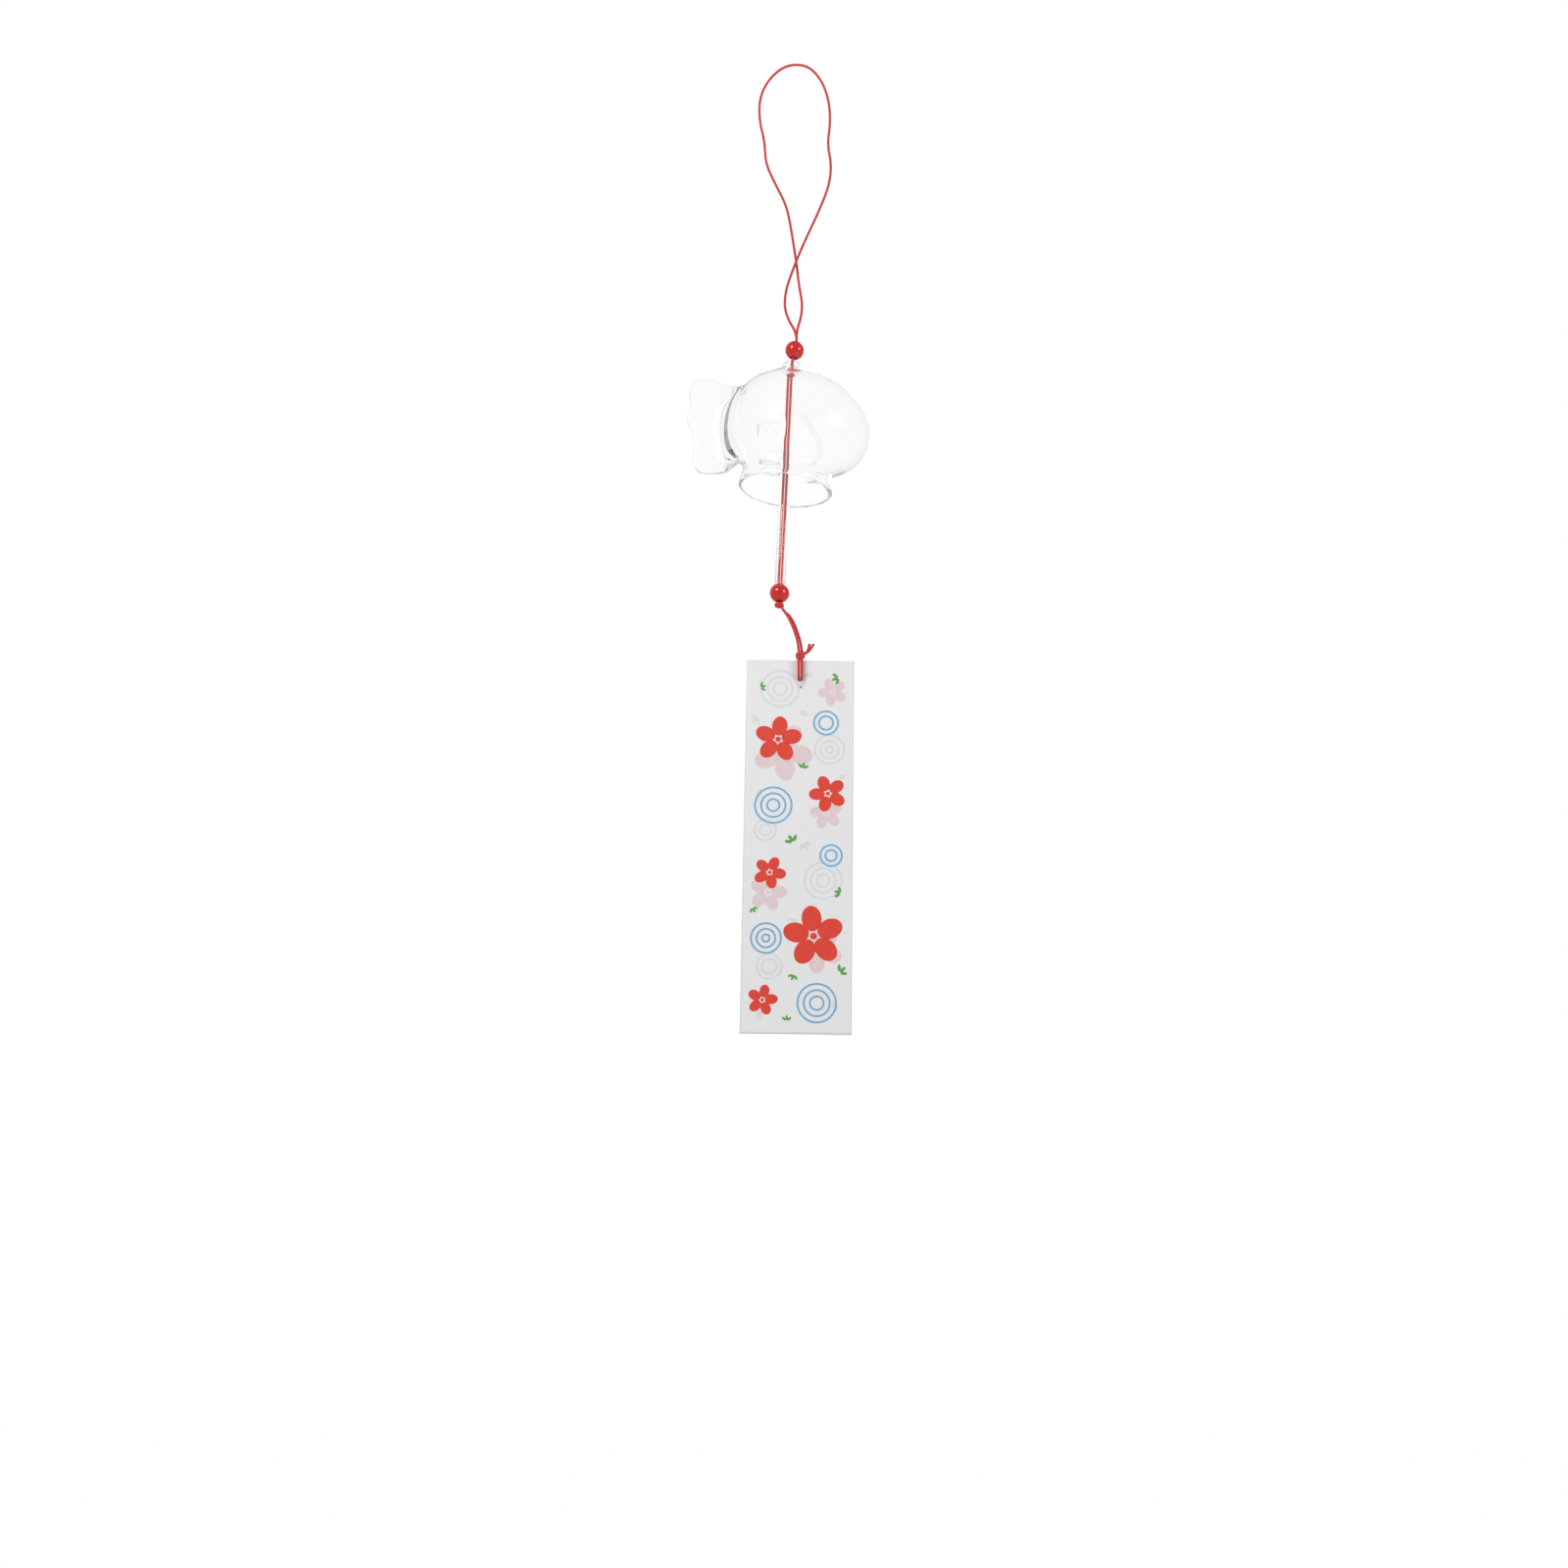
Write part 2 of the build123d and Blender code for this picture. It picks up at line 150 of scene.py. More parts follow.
# Hanging loop: one limp red cord, eight yarns of polyester braided round a core,
# doubled over the hook. Its two ends cross once and go down into the upper bead.
cord_diameter = 1.2
yarn_count = 8
yarn_radius = 0.2
yarn_reach = 0.34
yarn_lift = 0.07
core_radius_share = 1.4
braid_pitch = 3.4
steps_in_pitch = 12
loop_route = (
    (0.8, -0.65, -131.0), (0.5, -0.65, -127.2), (-2.4, -0.9, -122.6),
    (-4.4, -1.0, -116.1), (-3.8, -1.0, -108.4), (-1.5, -1.0, -100.8),
    (1.5, -1.0, -92.3), (4.9, -0.9, -83.7), (8.5, -0.4, -75.1),
    (12.0, 0.3, -66.0), (15.0, 0.8, -56.8), (15.8, 0.7, -47.2),
    (14.1, 0.3, -38.2), (15.5, -0.3, -28.1), (14.9, -0.5, -17.3),
    (11.7, -0.2, -6.9), (5.5, 0.0, 0.6), (-3.7, 0.0, 0.6),
    (-11.0, -0.3, -6.2), (-15.3, -0.6, -16.0), (-15.3, -0.5, -27.0),
    (-12.9, 0.1, -37.2), (-12.6, 0.6, -47.0), (-8.2, 0.9, -57.3),
    (-3.6, 0.9, -67.1), (-1.7, 0.9, -77.2), (-0.3, 1.0, -87.3),
    (1.0, 1.0, -96.3), (1.8, 1.0, -105.1), (3.2, 1.0, -112.8),
    (2.8, 0.9, -119.3), (1.3, 0.7, -124.5), (0.8, 0.65, -127.4),
    (0.8, 0.65, -131.0),
)


def mottle_on(material, scale, detail=2.0):
    """A fine unevenness, from 0 to 1, that stays where it is on its piece."""
    nodes, links = material.node_tree.nodes, material.node_tree.links
    place = nodes.new("ShaderNodeTexCoord")
    noise = nodes.new("ShaderNodeTexNoise")
    noise.inputs["Scale"].default_value = scale
    noise.inputs["Detail"].default_value = detail
    links.new(place.outputs["Object"], noise.inputs["Vector"])
    return noise.outputs["Fac"]


def shade(material, mottle, darker, lighter, starts=0.0, ends=1.0):
    """Colours a finish from a darker to a lighter shade, as its mottle rises."""
    nodes, links = material.node_tree.nodes, material.node_tree.links
    ramp = nodes.new("ShaderNodeValToRGB")
    low, high = ramp.color_ramp.elements
    low.position, low.color = starts, (*darker, 1)
    high.position, high.color = ends, (*lighter, 1)
    links.new(mottle, ramp.inputs["Fac"])
    links.new(ramp.outputs["Color"], nodes["Principled BSDF"].inputs["Base Color"])


def emboss(material, mottle, strength, height):
    """Raises and sinks a finish with its mottle, by a height in millimetres."""
    nodes, links = material.node_tree.nodes, material.node_tree.links
    bump = nodes.new("ShaderNodeBump")
    bump.inputs["Strength"].default_value = strength
    bump.inputs["Distance"].default_value = height * mm
    links.new(mottle, bump.inputs["Height"])
    links.new(bump.outputs["Normal"], nodes["Principled BSDF"].inputs["Normal"])


def smooth_line(route):
    """Points along the smooth spline that has the route's points as control points."""
    curve = bpy.data.curves.new("route", "CURVE")
    curve.dimensions = "3D"
    spline = curve.splines.new("NURBS")
    spline.points.add(len(route) - 1)
    for point, at in zip(spline.points, route):
        point.co = (*at, 1)
    spline.order_u = 3
    spline.use_endpoint_u = True
    spline.resolution_u = 12
    holder = bpy.data.objects.new("route", curve)
    bpy.context.collection.objects.link(holder)
    bpy.context.view_layer.update()
    line = bpy.data.meshes.new_from_object(holder)
    points = [v.co.copy() for v in line.vertices]
    bpy.data.objects.remove(holder)
    bpy.data.meshes.remove(line)
    return points


def evenly_spaced(points, step):
    """The same line with its points at equal steps."""
    reached = [0.0]
    for a, b in zip(points, points[1:]):
        reached.append(reached[-1] + (b - a).length)
    count = max(2, round(reached[-1] / step))
    even, piece = [], 0
    for number in range(count + 1):
        along = reached[-1] * number / count
        while piece < len(points) - 2 and reached[piece + 1] < along:
            piece += 1
        share = (along - reached[piece]) / (reached[piece + 1] - reached[piece])
        even.append(points[piece].lerp(points[piece + 1], share))
    return even


def braid(name, points, body, *nodes_replaced):
    """Eight yarns that pass over two and under two round a core, along a line."""
    line = evenly_spaced(points, braid_pitch * mm / steps_in_pitch)
    curve = bpy.data.curves.new(name, "CURVE")
    curve.dimensions = "3D"
    curve.bevel_depth = yarn_radius * mm
    curve.bevel_resolution = 1
    curve.use_fill_caps = True
    yarns = [curve.splines.new("POLY") for _ in range(yarn_count)]
    core = curve.splines.new("POLY")
    for thread in (*yarns, core):
        thread.points.add(len(line) - 1)
    each_way = yarn_count // 2
    side = (line[1] - line[0]).orthogonal().normalized()
    for number, at in enumerate(line):
        after = line[min(number + 1, len(line) - 1)]
        before = line[max(number - 1, 0)]
        along = (after - before).normalized()
        side = (side - along * side.dot(along)).normalized()
        across = along.cross(side)
        turn = 2 * math.pi * number / steps_in_pitch
        for count, yarn in enumerate(yarns):
            way = 1 if count < each_way else -1
            quarter = count % each_way
            lift = way * math.cos(math.pi * quarter + way * 2 * turn - math.pi / 4)
            reach = (yarn_reach + yarn_lift * lift) * mm
            angle = way * turn + quarter * math.pi / 2
            out = side * math.cos(angle) + across * math.sin(angle)
            yarn.points[number].co = (*(at + out * reach), 1)
        core.points[number].co = (*at, 1)
        core.points[number].radius = core_radius_share
    holder = bpy.data.objects.new(name + "_yarns", curve)
    bpy.context.collection.objects.link(holder)
    bpy.context.view_layer.update()
    data = bpy.data.meshes.new_from_object(holder)
    bpy.data.objects.remove(holder)
    # The yarns' end caps come loose, and are welded on.
    capped = bmesh.new()
    capped.from_mesh(data)
    bmesh.ops.remove_doubles(capped, verts=capped.verts, dist=weld_gap)
    capped.to_mesh(data)
    capped.free()
    data.name = name
    data.materials.clear()
    data.materials.append(braided_red)
    data.polygons.foreach_set("use_smooth", [True] * len(data.polygons))
    piece = bpy.data.objects.new(name, data)
    bpy.context.collection.objects.link(piece)
    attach(piece, body)
    if nodes_replaced:
        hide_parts(*nodes_replaced)
    return piece


braided_red = finish_of("braided_red", Roughness=0.5, Sheen_Weight=0.35, Sheen_Roughness=0.4)
fibres = mottle_on(braided_red, 1400, detail=3)
shade(braided_red, fibres, (0.58, 0.018, 0.014), (0.86, 0.055, 0.038), starts=0.3, ends=0.7)
emboss(braided_red, fibres, strength=0.35, height=0.06)

loop_line = smooth_line([Vector(point) * mm for point in loop_route])
hanging_loop = braid("loop_of_cord", loop_line, "loop", "hanging_loop")

# Neck cord: the same cord, doubled through the bead and the neck of the glass, and
# tied below it in a small overhand knot, which the glass hangs on.
strand_offset = 0.65
knot_reach = 1.42
knot_corners = 8
knot_first_angle = 0.6
neck_knot_drop = 14.608


def hung_at(point, lean=0.0):
    """The place of a piece that hangs from a point, its foot leaning to the tail."""
    turn = Matrix.Rotation(math.radians(lean), 4, "Y")
    return Matrix.Translation(Vector(point) * mm) @ turn


def down_from(place, drop):
    """The place that is a drop below another, along that piece's own cord."""
    return place @ Matrix.Translation((0, 0, -drop * mm))


def placed(place, points):
    """Points in millimetres, moved to a piece's place, in metres."""
    return [place @ (Vector(point) * mm) for point in points]


def knot(name, place, turns, body, node):
    """A tight knot: the cord goes round its own two strands and tucks in again."""
    rise = turns * cord_diameter
    # It starts and ends inside its own turns, and is drawn in towards both ends.
    points = [(0.3, 0.2, rise / 2), (0.9, -0.5, rise / 2 - 0.1)]
    for corner in range(turns * knot_corners + 1):
        angle = 2 * math.pi * corner / knot_corners - knot_first_angle
        share = corner / (turns * knot_corners)
        drawn_in = min(1, 0.8 + 0.6 * min(share, 1 - share))
        reach = knot_reach * drawn_in / math.cos(math.pi / knot_corners)
        height = (rise - cord_diameter) * (0.5 - share)
        points.append((reach * math.cos(angle), reach * math.sin(angle), height))
    points += [(0.7, -0.3, -rise / 2 + 0.3), (-0.2, 0.1, -rise / 2 + 0.3)]
    braid(name, smooth_line(placed(place, points)), body, node)


neck_place = hung_at((0.8, 0, -131.0), lean=9.5)
for name, side in (("neck_strand_front", -1), ("neck_strand_back", 1)):
    y = side * strand_offset
    route = ((0, y, 0), (0.15, y, -4.5), (-0.1, y, -9.0), (0, y, -neck_knot_drop))
    braid("cord_" + name, smooth_line(placed(neck_place, route)), "neck_cord", name)
knot("knot_in_neck", down_from(neck_place, neck_knot_drop), 2, "neck_cord", "neck_knot")

# Beads: two round beads moulded in clear red acrylic, each with a straight bore.
# The upper one turns on the cord above the neck, the lower one carries the clapper.
bead_radius = 4.0
bead_bore = 1.5
bead_edge = 0.25
bead_arc_steps = 28
bead_bore_steps = 6
upper_bead_drop = 4.508

clear_red = finish_of(
    "clear_red_acrylic",
    Roughness=0.03,
    IOR=1.49,
    Transmission_Weight=0.55,
    Coat_Weight=0.5,
    Coat_Roughness=0.02,
)
cloud = mottle_on(clear_red, 160)
shade(clear_red, cloud, (0.78, 0.010, 0.008), (0.93, 0.035, 0.02), starts=0.25, ends=0.8)


def turned(name, profile, place, material, body, steps=64):
    """A round piece: a closed profile of radii and heights, spun about its own axis."""
    mesh = bmesh.new()
    verts = [mesh.verts.new(Vector((radius, 0, height)) * mm) for radius, height in profile]
    edges = [mesh.edges.new((a, b)) for a, b in zip(verts, verts[1:] + verts[:1])]
    bmesh.ops.spin(
        mesh,
        geom=verts + edges,
        axis=(0, 0, 1),
        cent=(0, 0, 0),
        angle=2 * math.pi,
        steps=steps,
        use_merge=True,
    )
    bmesh.ops.transform(mesh, matrix=place, verts=mesh.verts)
    return piece_from(name, mesh, material, body)


def bead(name, place, body, node):
    """A ball with a bore whose edges are broken by a small bevel."""
    mouth = math.acos((bead_bore + bead_edge) / bead_radius)
    profile = []
    for step in range(bead_arc_steps + 1):
        angle = mouth - 2 * mouth * step / bead_arc_steps
        profile.append((bead_radius * math.cos(angle), bead_radius * math.sin(angle)))
    flat = bead_radius * math.sin(mouth)
    lower = -flat + bead_edge
    for step in range(bead_bore_steps + 1):
        profile.append((bead_bore, lower - 2 * lower * step / bead_bore_steps))
    piece = turned(name, profile, place, clear_red, body)
    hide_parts(node)


bead("bead_above_neck", down_from(neck_place, upper_bead_drop), "top_bead", "upper_bead")

# Glass goldfish: one bubble of clear soda glass, blown with a narrow neck and an
# open mouth. Its tail and side fins are drawn out of the hot glass with tongs, and
# its rim is rounded in the flame. It hangs by its lip on the knot in the neck.
half_length = 29.5
half_width = 26.0
nose_offset = 4.7
body_drop = 46.4
mouth_slant = 3.8
wall = 1.2
wall_step = 0.02
ring_points = 48
back_point = 12

# A section of the glass is its depth, half length, half width, how far it stands
# towards the nose, and its slant in degrees. They go from the hole in the lip out
# over the neck, down the bubble and the collar, round the rim and up inside again.
neck_outside = (
    (0.2, 1.95, 1.95, 0, 0),
    (-0.1, 2.6, 2.6, 0, 0),
    (0.0, 3.4, 3.4, 0, 0),
    (0.4, 3.95, 3.95, 0, 0),
    (1.0, 4.1, 4.1, 0, 0),
    (1.6, 3.85, 3.85, 0, 0),
    (2.2, 3.7, 3.75, 0, 0),
)
neck_inside = (
    (8.6, 11.6, 12.0, 0.5, 0),
    (7.2, 10.0, 10.4, 0.3, 0),
    (5.6, 7.4, 7.6, 0.1, 0),
    (4.0, 4.2, 4.2, 0, 0),
    (2.6, 2.0, 2.0, 0, 0),
    (1.6, 1.72, 1.72, 0, 0),
    (0.8, 1.7, 1.7, 0, 0),
)
# The bubble: how far down it, then half length, half width and offset to the nose,
# as shares of the sizes above. It is drawn in under the crest of the neck, where
# the blowing iron was.
bubble_shares = (
    (0.065, 0.176, 0.190, 0.00),
    (0.095, 0.250, 0.270, 0.02),
    (0.120, 0.330, 0.350, 0.05),
    (0.150, 0.405, 0.430, 0.09),
    (0.175, 0.475, 0.500, 0.14),
    (0.205, 0.590, 0.612, 0.22),
    (0.235, 0.668, 0.688, 0.31),
    (0.275, 0.748, 0.765, 0.42),
    (0.320, 0.810, 0.822, 0.53),
    (0.370, 0.868, 0.876, 0.65),
    (0.430, 0.922, 0.926, 0.77),
    (0.490, 0.960, 0.963, 0.87),
    (0.560, 0.987, 0.988, 0.95),
    (0.640, 1.003, 1.003, 1.00),
    (0.720, 0.992, 0.994, 0.98),
    (0.800, 0.963, 0.968, 0.92),
    (0.865, 0.912, 0.925, 0.79),
    (0.920, 0.846, 0.868, 0.60),
    (0.962, 0.750, 0.800, 0.32),
)
# The wall's inner side is set at these shares of the way down, from below upwards.
wall_shares = (0.94, 0.90, 0.84, 0.76, 0.68, 0.6, 0.52, 0.44, 0.37, 0.31, 0.26, 0.225)
# The collar outside, its rounded rim and its inner side: how far each stands below
# the bubble, and its radius.
collar_shape = (
    (0.3, 18.95), (2.0, 18.35), (3.8, 18.2), (6.0, 18.5), (7.8, 19.05), (8.8, 19.4),
    (9.8, 19.35), (10.4, 18.9), (10.55, 18.5), (10.35, 18.0), (9.7, 17.65), (8.6, 17.6),
    (6.2, 17.3), (3.6, 17.0), (1.6, 17.3), (-0.3, 17.9),
)

clear_glass = finish_of(
    "clear_glass",
    Base_Color=(1.0, 1.0, 1.0, 1),
    Roughness=0.0,
    IOR=1.5,
    Transmission_Weight=1.0,
)
nodes, links = clear_glass.node_tree.nodes, clear_glass.node_tree.links
tint = nodes.new("ShaderNodeVolumeAbsorption")
tint.inputs["Color"].default_value = (0.6, 0.62, 0.62, 1)
tint.inputs["Density"].default_value = 12
links.new(tint.outputs["Volume"], nodes["Material Output"].inputs["Volume"])
emboss(clear_glass, mottle_on(clear_glass, 60, detail=0.5), strength=0.15, height=0.5)


def row_at(table, at):
    """The row of a table at a place between its rows, its first column being the place."""
    for above, below in zip(table, table[1:]):
        if at <= below[0]:
            break
    part = (at - above[0]) / (below[0] - above[0])
    return [a + (b - a) * part for a, b in zip(above[1:], below[1:])]


def bubble_row(share):
    """The section at a share of the way down the bubble."""
    long, wide, out = row_at(bubble_shares, share)
    return (
        share * body_drop,
        long * half_length,
        wide * half_width,
        out * nose_offset,
        share**2 * mouth_slant,
    )


def collar_row(below, radius):
    """One section of the collar, on its own slanted axis."""
    turn = math.radians(mouth_slant)
    return (
        body_drop + below * math.cos(turn),
        radius,
        radius,
        -below * math.sin(turn),
        mouth_slant,
    )


def wall_row(share):
    """The section inside the bubble, one wall in, square to the glass."""
    above, below = bubble_row(share - wall_step), bubble_row(share + wall_step)
    fall, spread = below[0] - above[0], below[1] - above[1]
    slope = math.hypot(fall, spread)
    depth, long, wide, out, slant = bubble_row(share)
    inward, downward = wall * fall / slope, wall * spread / slope
    return (depth + downward, long - inward, wide - inward, out, slant)


sections = [
    *neck_outside,
    *(bubble_row(row[0]) for row in bubble_shares),
    *(collar_row(below, radius) for below, radius in collar_shape),
    *(wall_row(share) for share in wall_shares),
    *neck_inside,
]
fish = bmesh.new()
rings = []
for depth, long, wide, forward, slant in sections:
    ring = bmesh.ops.create_circle(fish, radius=1, segments=ring_points)["verts"]
    at = Matrix.Translation(Vector((forward, 0, -depth)) * mm)
    turn = Matrix.Rotation(math.radians(slant), 4, "Y")
    size = Matrix.Diagonal((long * mm, wide * mm, mm, 1))
    bmesh.ops.transform(fish, matrix=at @ turn @ size, verts=ring)
    rings.append(ring)
for upper, lower in zip(rings, rings[1:] + rings[:1]):
    both = set(upper), set(lower)
    loops = [e for ring in both for v in ring for e in v.link_edges if e.other_vert(v) in ring]
    bmesh.ops.bridge_loops(fish, edges=list(set(loops)))
collar_first = len(neck_outside) + len(bubble_shares)
bubble_rings = rings[len(neck_outside) : collar_first]
collar_rings = rings[collar_first:]

# The tail is drawn out of the bubble's back in steps: its edge runs from its root
# over the upper lobe, in and out again at the lower lobe, and back below. Each row
# is the share of that edge, how far towards the nose, and the depth.
tail_top_edge = (
    (0.0, -20.2, 13.2), (0.2, -24.0, 12.2), (0.4, -27.6, 10.9),
    (0.6, -31.6, 9.4), (0.8, -36.0, 8.3), (1.0, -39.6, 8.9),
)
tail_back_edge = (
    (0.0, -39.6, 8.9), (0.08, -42.0, 11.4), (0.18, -42.1, 15.4), (0.28, -41.0, 19.4),
    (0.38, -41.6, 23.4), (0.47, -42.9, 27.0), (0.56, -41.0, 30.8), (0.66, -38.7, 35.6),
    (0.78, -38.8, 40.8), (0.89, -39.5, 45.6), (0.96, -38.9, 49.0), (1.0, -36.6, 50.6),
)
tail_under_edge = (
    (0.0, -20.9, 44.6), (0.2, -22.6, 47.6), (0.4, -24.8, 49.6),
    (0.6, -28.0, 50.7), (0.8, -32.4, 51.0), (1.0, -36.6, 50.6),
)
tail_half_thickness = ((0.0, 6.6), (0.16, 3.6), (0.33, 2.1), (0.5, 1.5), (0.7, 1.1), (1.0, 0.85))
tail_first_section = 7
tail_steps = 7
tail_side_points = 2
tail_rim_share = 0.62
tail_rim_crest = 0.5
tail_wave, tail_wave_halves, tail_wave_start = 0.6, 3.2, 0.3
tail_flute, tail_flute_halves = 0.15, 6


def drawn_out(mesh, grid, places):
    """Extrudes the faces among a grid of vertices, and moves each to its new place."""
    members = {v for row in grid for v in row}
    region = [f for f in mesh.faces if all(v in members for v in f.verts)]
    spot = {v.co.copy().freeze(): (i, j) for i, row in enumerate(grid) for j, v in enumerate(row)}
    made = bmesh.ops.extrude_face_region(mesh, geom=region)["geom"]
    bmesh.ops.delete(mesh, geom=region, context="FACES")
    fresh = [[None] * len(grid[0]) for _ in grid]
    for vert in (item for item in made if isinstance(item, bmesh.types.BMVert)):
        i, j = spot[vert.co.copy().freeze()]
        fresh[i][j] = vert
    for row, new_row in zip(fresh, places):
        for vert, at in zip(row, new_row):
            vert.co = at
    return fresh


def side_view(point):
    """How far towards the nose a point stands, and its depth."""
    return point.x / mm, -point.z / mm


grid = [
    [ring[back_point + column] for column in range(-tail_side_points, tail_side_points + 1)]
    for ring in bubble_rings[tail_first_section:]
]
root = [[v.co.copy() for v in row] for row in grid]
root_top = side_view(root[0][tail_side_points])
root_foot = side_view(root[-1][tail_side_points])
levels = len(grid) - 1
for step in range(1, tail_steps + 1):
    out = step / tail_steps
    top = row_at(tail_top_edge, out)
    under = row_at(tail_under_edge, out)
    half = row_at(tail_half_thickness, out)[0]
    places = []
    for level, row in enumerate(root):
        down = level / levels
        edge = row_at(tail_back_edge, down)
        base = side_view(row[tail_side_points])
        # The tail's middle is blended from its four edges.
        middle = []
        for axis in (0, 1):
            corners = (
                (1 - out) * (1 - down) * root_top[axis]
                + (1 - out) * down * root_foot[axis]
                + out * (1 - down) * tail_back_edge[0][axis + 1]
                + out * down * tail_back_edge[-1][axis + 1]
            )
            middle.append(
                (1 - out) * base[axis]
                + out * edge[axis]
                + (1 - down) * top[axis]
                + down * under[axis]
                - corners
            )
        rim = tail_rim_share if level in (0, levels) else 1.0
        wave = tail_wave * out * math.sin(math.pi * (tail_wave_halves * down + tail_wave_start))
        flute = tail_flute * out * math.cos(math.pi * tail_flute_halves * down)
        new_row = []
        for column in range(-tail_side_points, tail_side_points + 1):
            thick = column / tail_side_points
            crest = (1 - abs(thick)) * tail_rim_crest
            lift = crest if level == 0 else -crest if level == levels else 0
            back = crest if step == tail_steps else 0
            y = -thick * (half * rim + flute * (abs(thick) > 0)) + wave
            new_row.append(Vector((middle[0] - back, y, -middle[1] + lift)) * mm)
        places.append(new_row)
    grid = drawn_out(fish, grid, places)

# Each side fin is a small rounded tongue, pulled out of the flank and pointing back,
# in two pulls that narrow it. It starts from four points on each of three sections.
fin_rings = bubble_rings[15:18]
fin_columns = ((1, (2, 3, 4, 5)), (-1, (22, 21, 20, 19)))
fin_pulls = ((0.9, 0.86), (1.7, 0.62))
fin_back, fin_out, fin_down, fin_step = 0.9, 1.4, 0.3, 0.8
for flank, columns in fin_columns:
    grid = [[ring[column] for column in columns] for ring in fin_rings]
    for reach, shrink in fin_pulls:
        count = len(fin_rings) * len(columns)
        middle = sum((v.co for row in grid for v in row), Vector()) / count
        push = Vector((-fin_back, flank * reach * fin_out, -fin_down)) * mm * fin_step
        places = [[middle + (v.co - middle) * shrink + push for v in row] for row in grid]
        grid = drawn_out(fish, grid, places)

# The rim has a lump at the nose, where the flame left the glass thickest: how far
# it swells at each section of the collar, and its share at each point round it.
rim_lump_rows = ((4, 0.2), (5, 0.45), (6, 0.5), (7, 0.3), (9, -0.35), (10, -0.4))
rim_lump_columns = ((33, 0.3), (34, 0.7), (35, 1.0), (36, 0.8), (37, 0.9), (38, 0.4))
for number, swell in rim_lump_rows:
    for column, share in rim_lump_columns:
        vert = collar_rings[number][column]
        outward = Vector((vert.co.x, vert.co.y, 0)).normalized()
        vert.co += outward * swell * share * mm

bell_place = hung_at((-0.967, 0, -141.561), lean=2.4)
bmesh.ops.transform(fish, matrix=bell_place, verts=fish.verts)
glass_fish = piece_from("glass_goldfish", fish, clear_glass, "bell")
rounder = glass_fish.modifiers.new("drawn_smooth", "SUBSURF")
rounder.levels = rounder.render_levels = 2
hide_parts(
    "glass_body", "mouth_collar", "tail_fin", "side_fin_front", "side_fin_back"
)

# Clapper: a length of clear glass tube, cut and rounded in the flame at both ends.
# The doubled cord runs through it, and it stands on the lower bead and its knot.
tube_outer = 2.2
tube_bore = 1.55
tube_top = -33.0
tube_bottom = -91.6
tube_round = 0.3
tube_round_steps = 4
lower_bead_drop = 95.447
bead_knot_drop = 100.655

clapper_place = hung_at((-1.974, 0, -147.578), lean=2.5)
tube_profile = []
for middle_radius, middle_height, start in (
    (tube_outer - tube_round, tube_top - tube_round, 0),
    (tube_bore + tube_round, tube_top - tube_round, 90),
    (tube_bore + tube_round, tube_bottom + tube_round, 180),
    (tube_outer - tube_round, tube_bottom + tube_round, 270),
):
    for step in range(tube_round_steps + 1):
        angle = math.radians(start + 90 / tube_round_steps * step)
        radius = middle_radius + tube_round * math.cos(angle)
        tube_profile.append((radius, middle_height + tube_round * math.sin(angle)))
tube = turned("glass_clapper_tube", tube_profile, clapper_place, clear_glass, "clapper", steps=48)
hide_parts("clapper_tube")

for name, side in (("clapper_strand_left", -1), ("clapper_strand_right", 1)):
    x = side * strand_offset
    route = (
        (x, 0, 0.9), (x, 0.1, -14), (x, -0.1, -32), (x, 0, -52),
        (x, 0.05, -72), (x, 0, -90), (x, 0, -bead_knot_drop),
    )
    line = smooth_line(placed(clapper_place, route))
    strand = braid("cord_" + name, line, "clapper_cord", name)
bead("bead_under_tube", down_from(clapper_place, lower_bead_drop), "foot_bead", "lower_bead")
knot("knot_under_bead", down_from(clapper_place, bead_knot_drop), 2, "clapper_cord", "bead_knot")

# Strip cord: the same cord, its two strands side by side between the bead's knot
# and the tie. It carries only the card, and is shown in the bend that it hangs in.
strip_pivot = hung_at((-4.871, 0, -250.604))
left_route = (
    (-0.2, -0.65, 1.3), (0.1, -0.65, 0.2), (1.6, -0.64, -1.7), (3.0, -0.58, -4.4),
    (4.3, -0.52, -7.5), (5.4, -0.46, -10.8), (6.2, -0.35, -14.0), (6.5, -0.2, -17.4),
)
right_route = (
    (-0.2, 0.65, 1.3), (0.4, 0.65, 0.2), (2.4, 0.64, -1.4), (4.1, 0.58, -4.0),
    (5.4, 0.52, -7.2), (6.5, 0.46, -10.6), (7.4, 0.35, -13.9), (7.7, 0.2, -17.4),
)
for name, route in (("strip_strand_left", left_route), ("strip_strand_right", right_route)):
    braid("cord_" + name, smooth_line(placed(strip_pivot, route)), "strip_cord", name)

# Tie: three turns above the paper, two strands down over its front, through its
# hole and up behind it, and two cut ends whose tips were melted so as not to fray.
leg_in_front = ((-1.2, 0.6), (-1.9, -1.0), (-2.0, -3.2), (-2.0, -6.0), (-2.0, -9.2), (-0.9, -10.2))
tip_radius = 0.58
tip_squash = (1.08, 0.95, 0.8)

tie_place = hung_at((2.179, 0, -269.604))
knot("knot_of_tie", tie_place, 3, "tie", "tie_knot")
for name, side in (("tie_leg_left", -1), ("tie_leg_right", 1)):
    x = side * strand_offset
    route = [(x, y, z) for y, z in leg_in_front]
    route += [(x, -y, z) for y, z in reversed(leg_in_front)]
    braid("cord_" + name, smooth_line(placed(tie_place, route)), "tie", name)

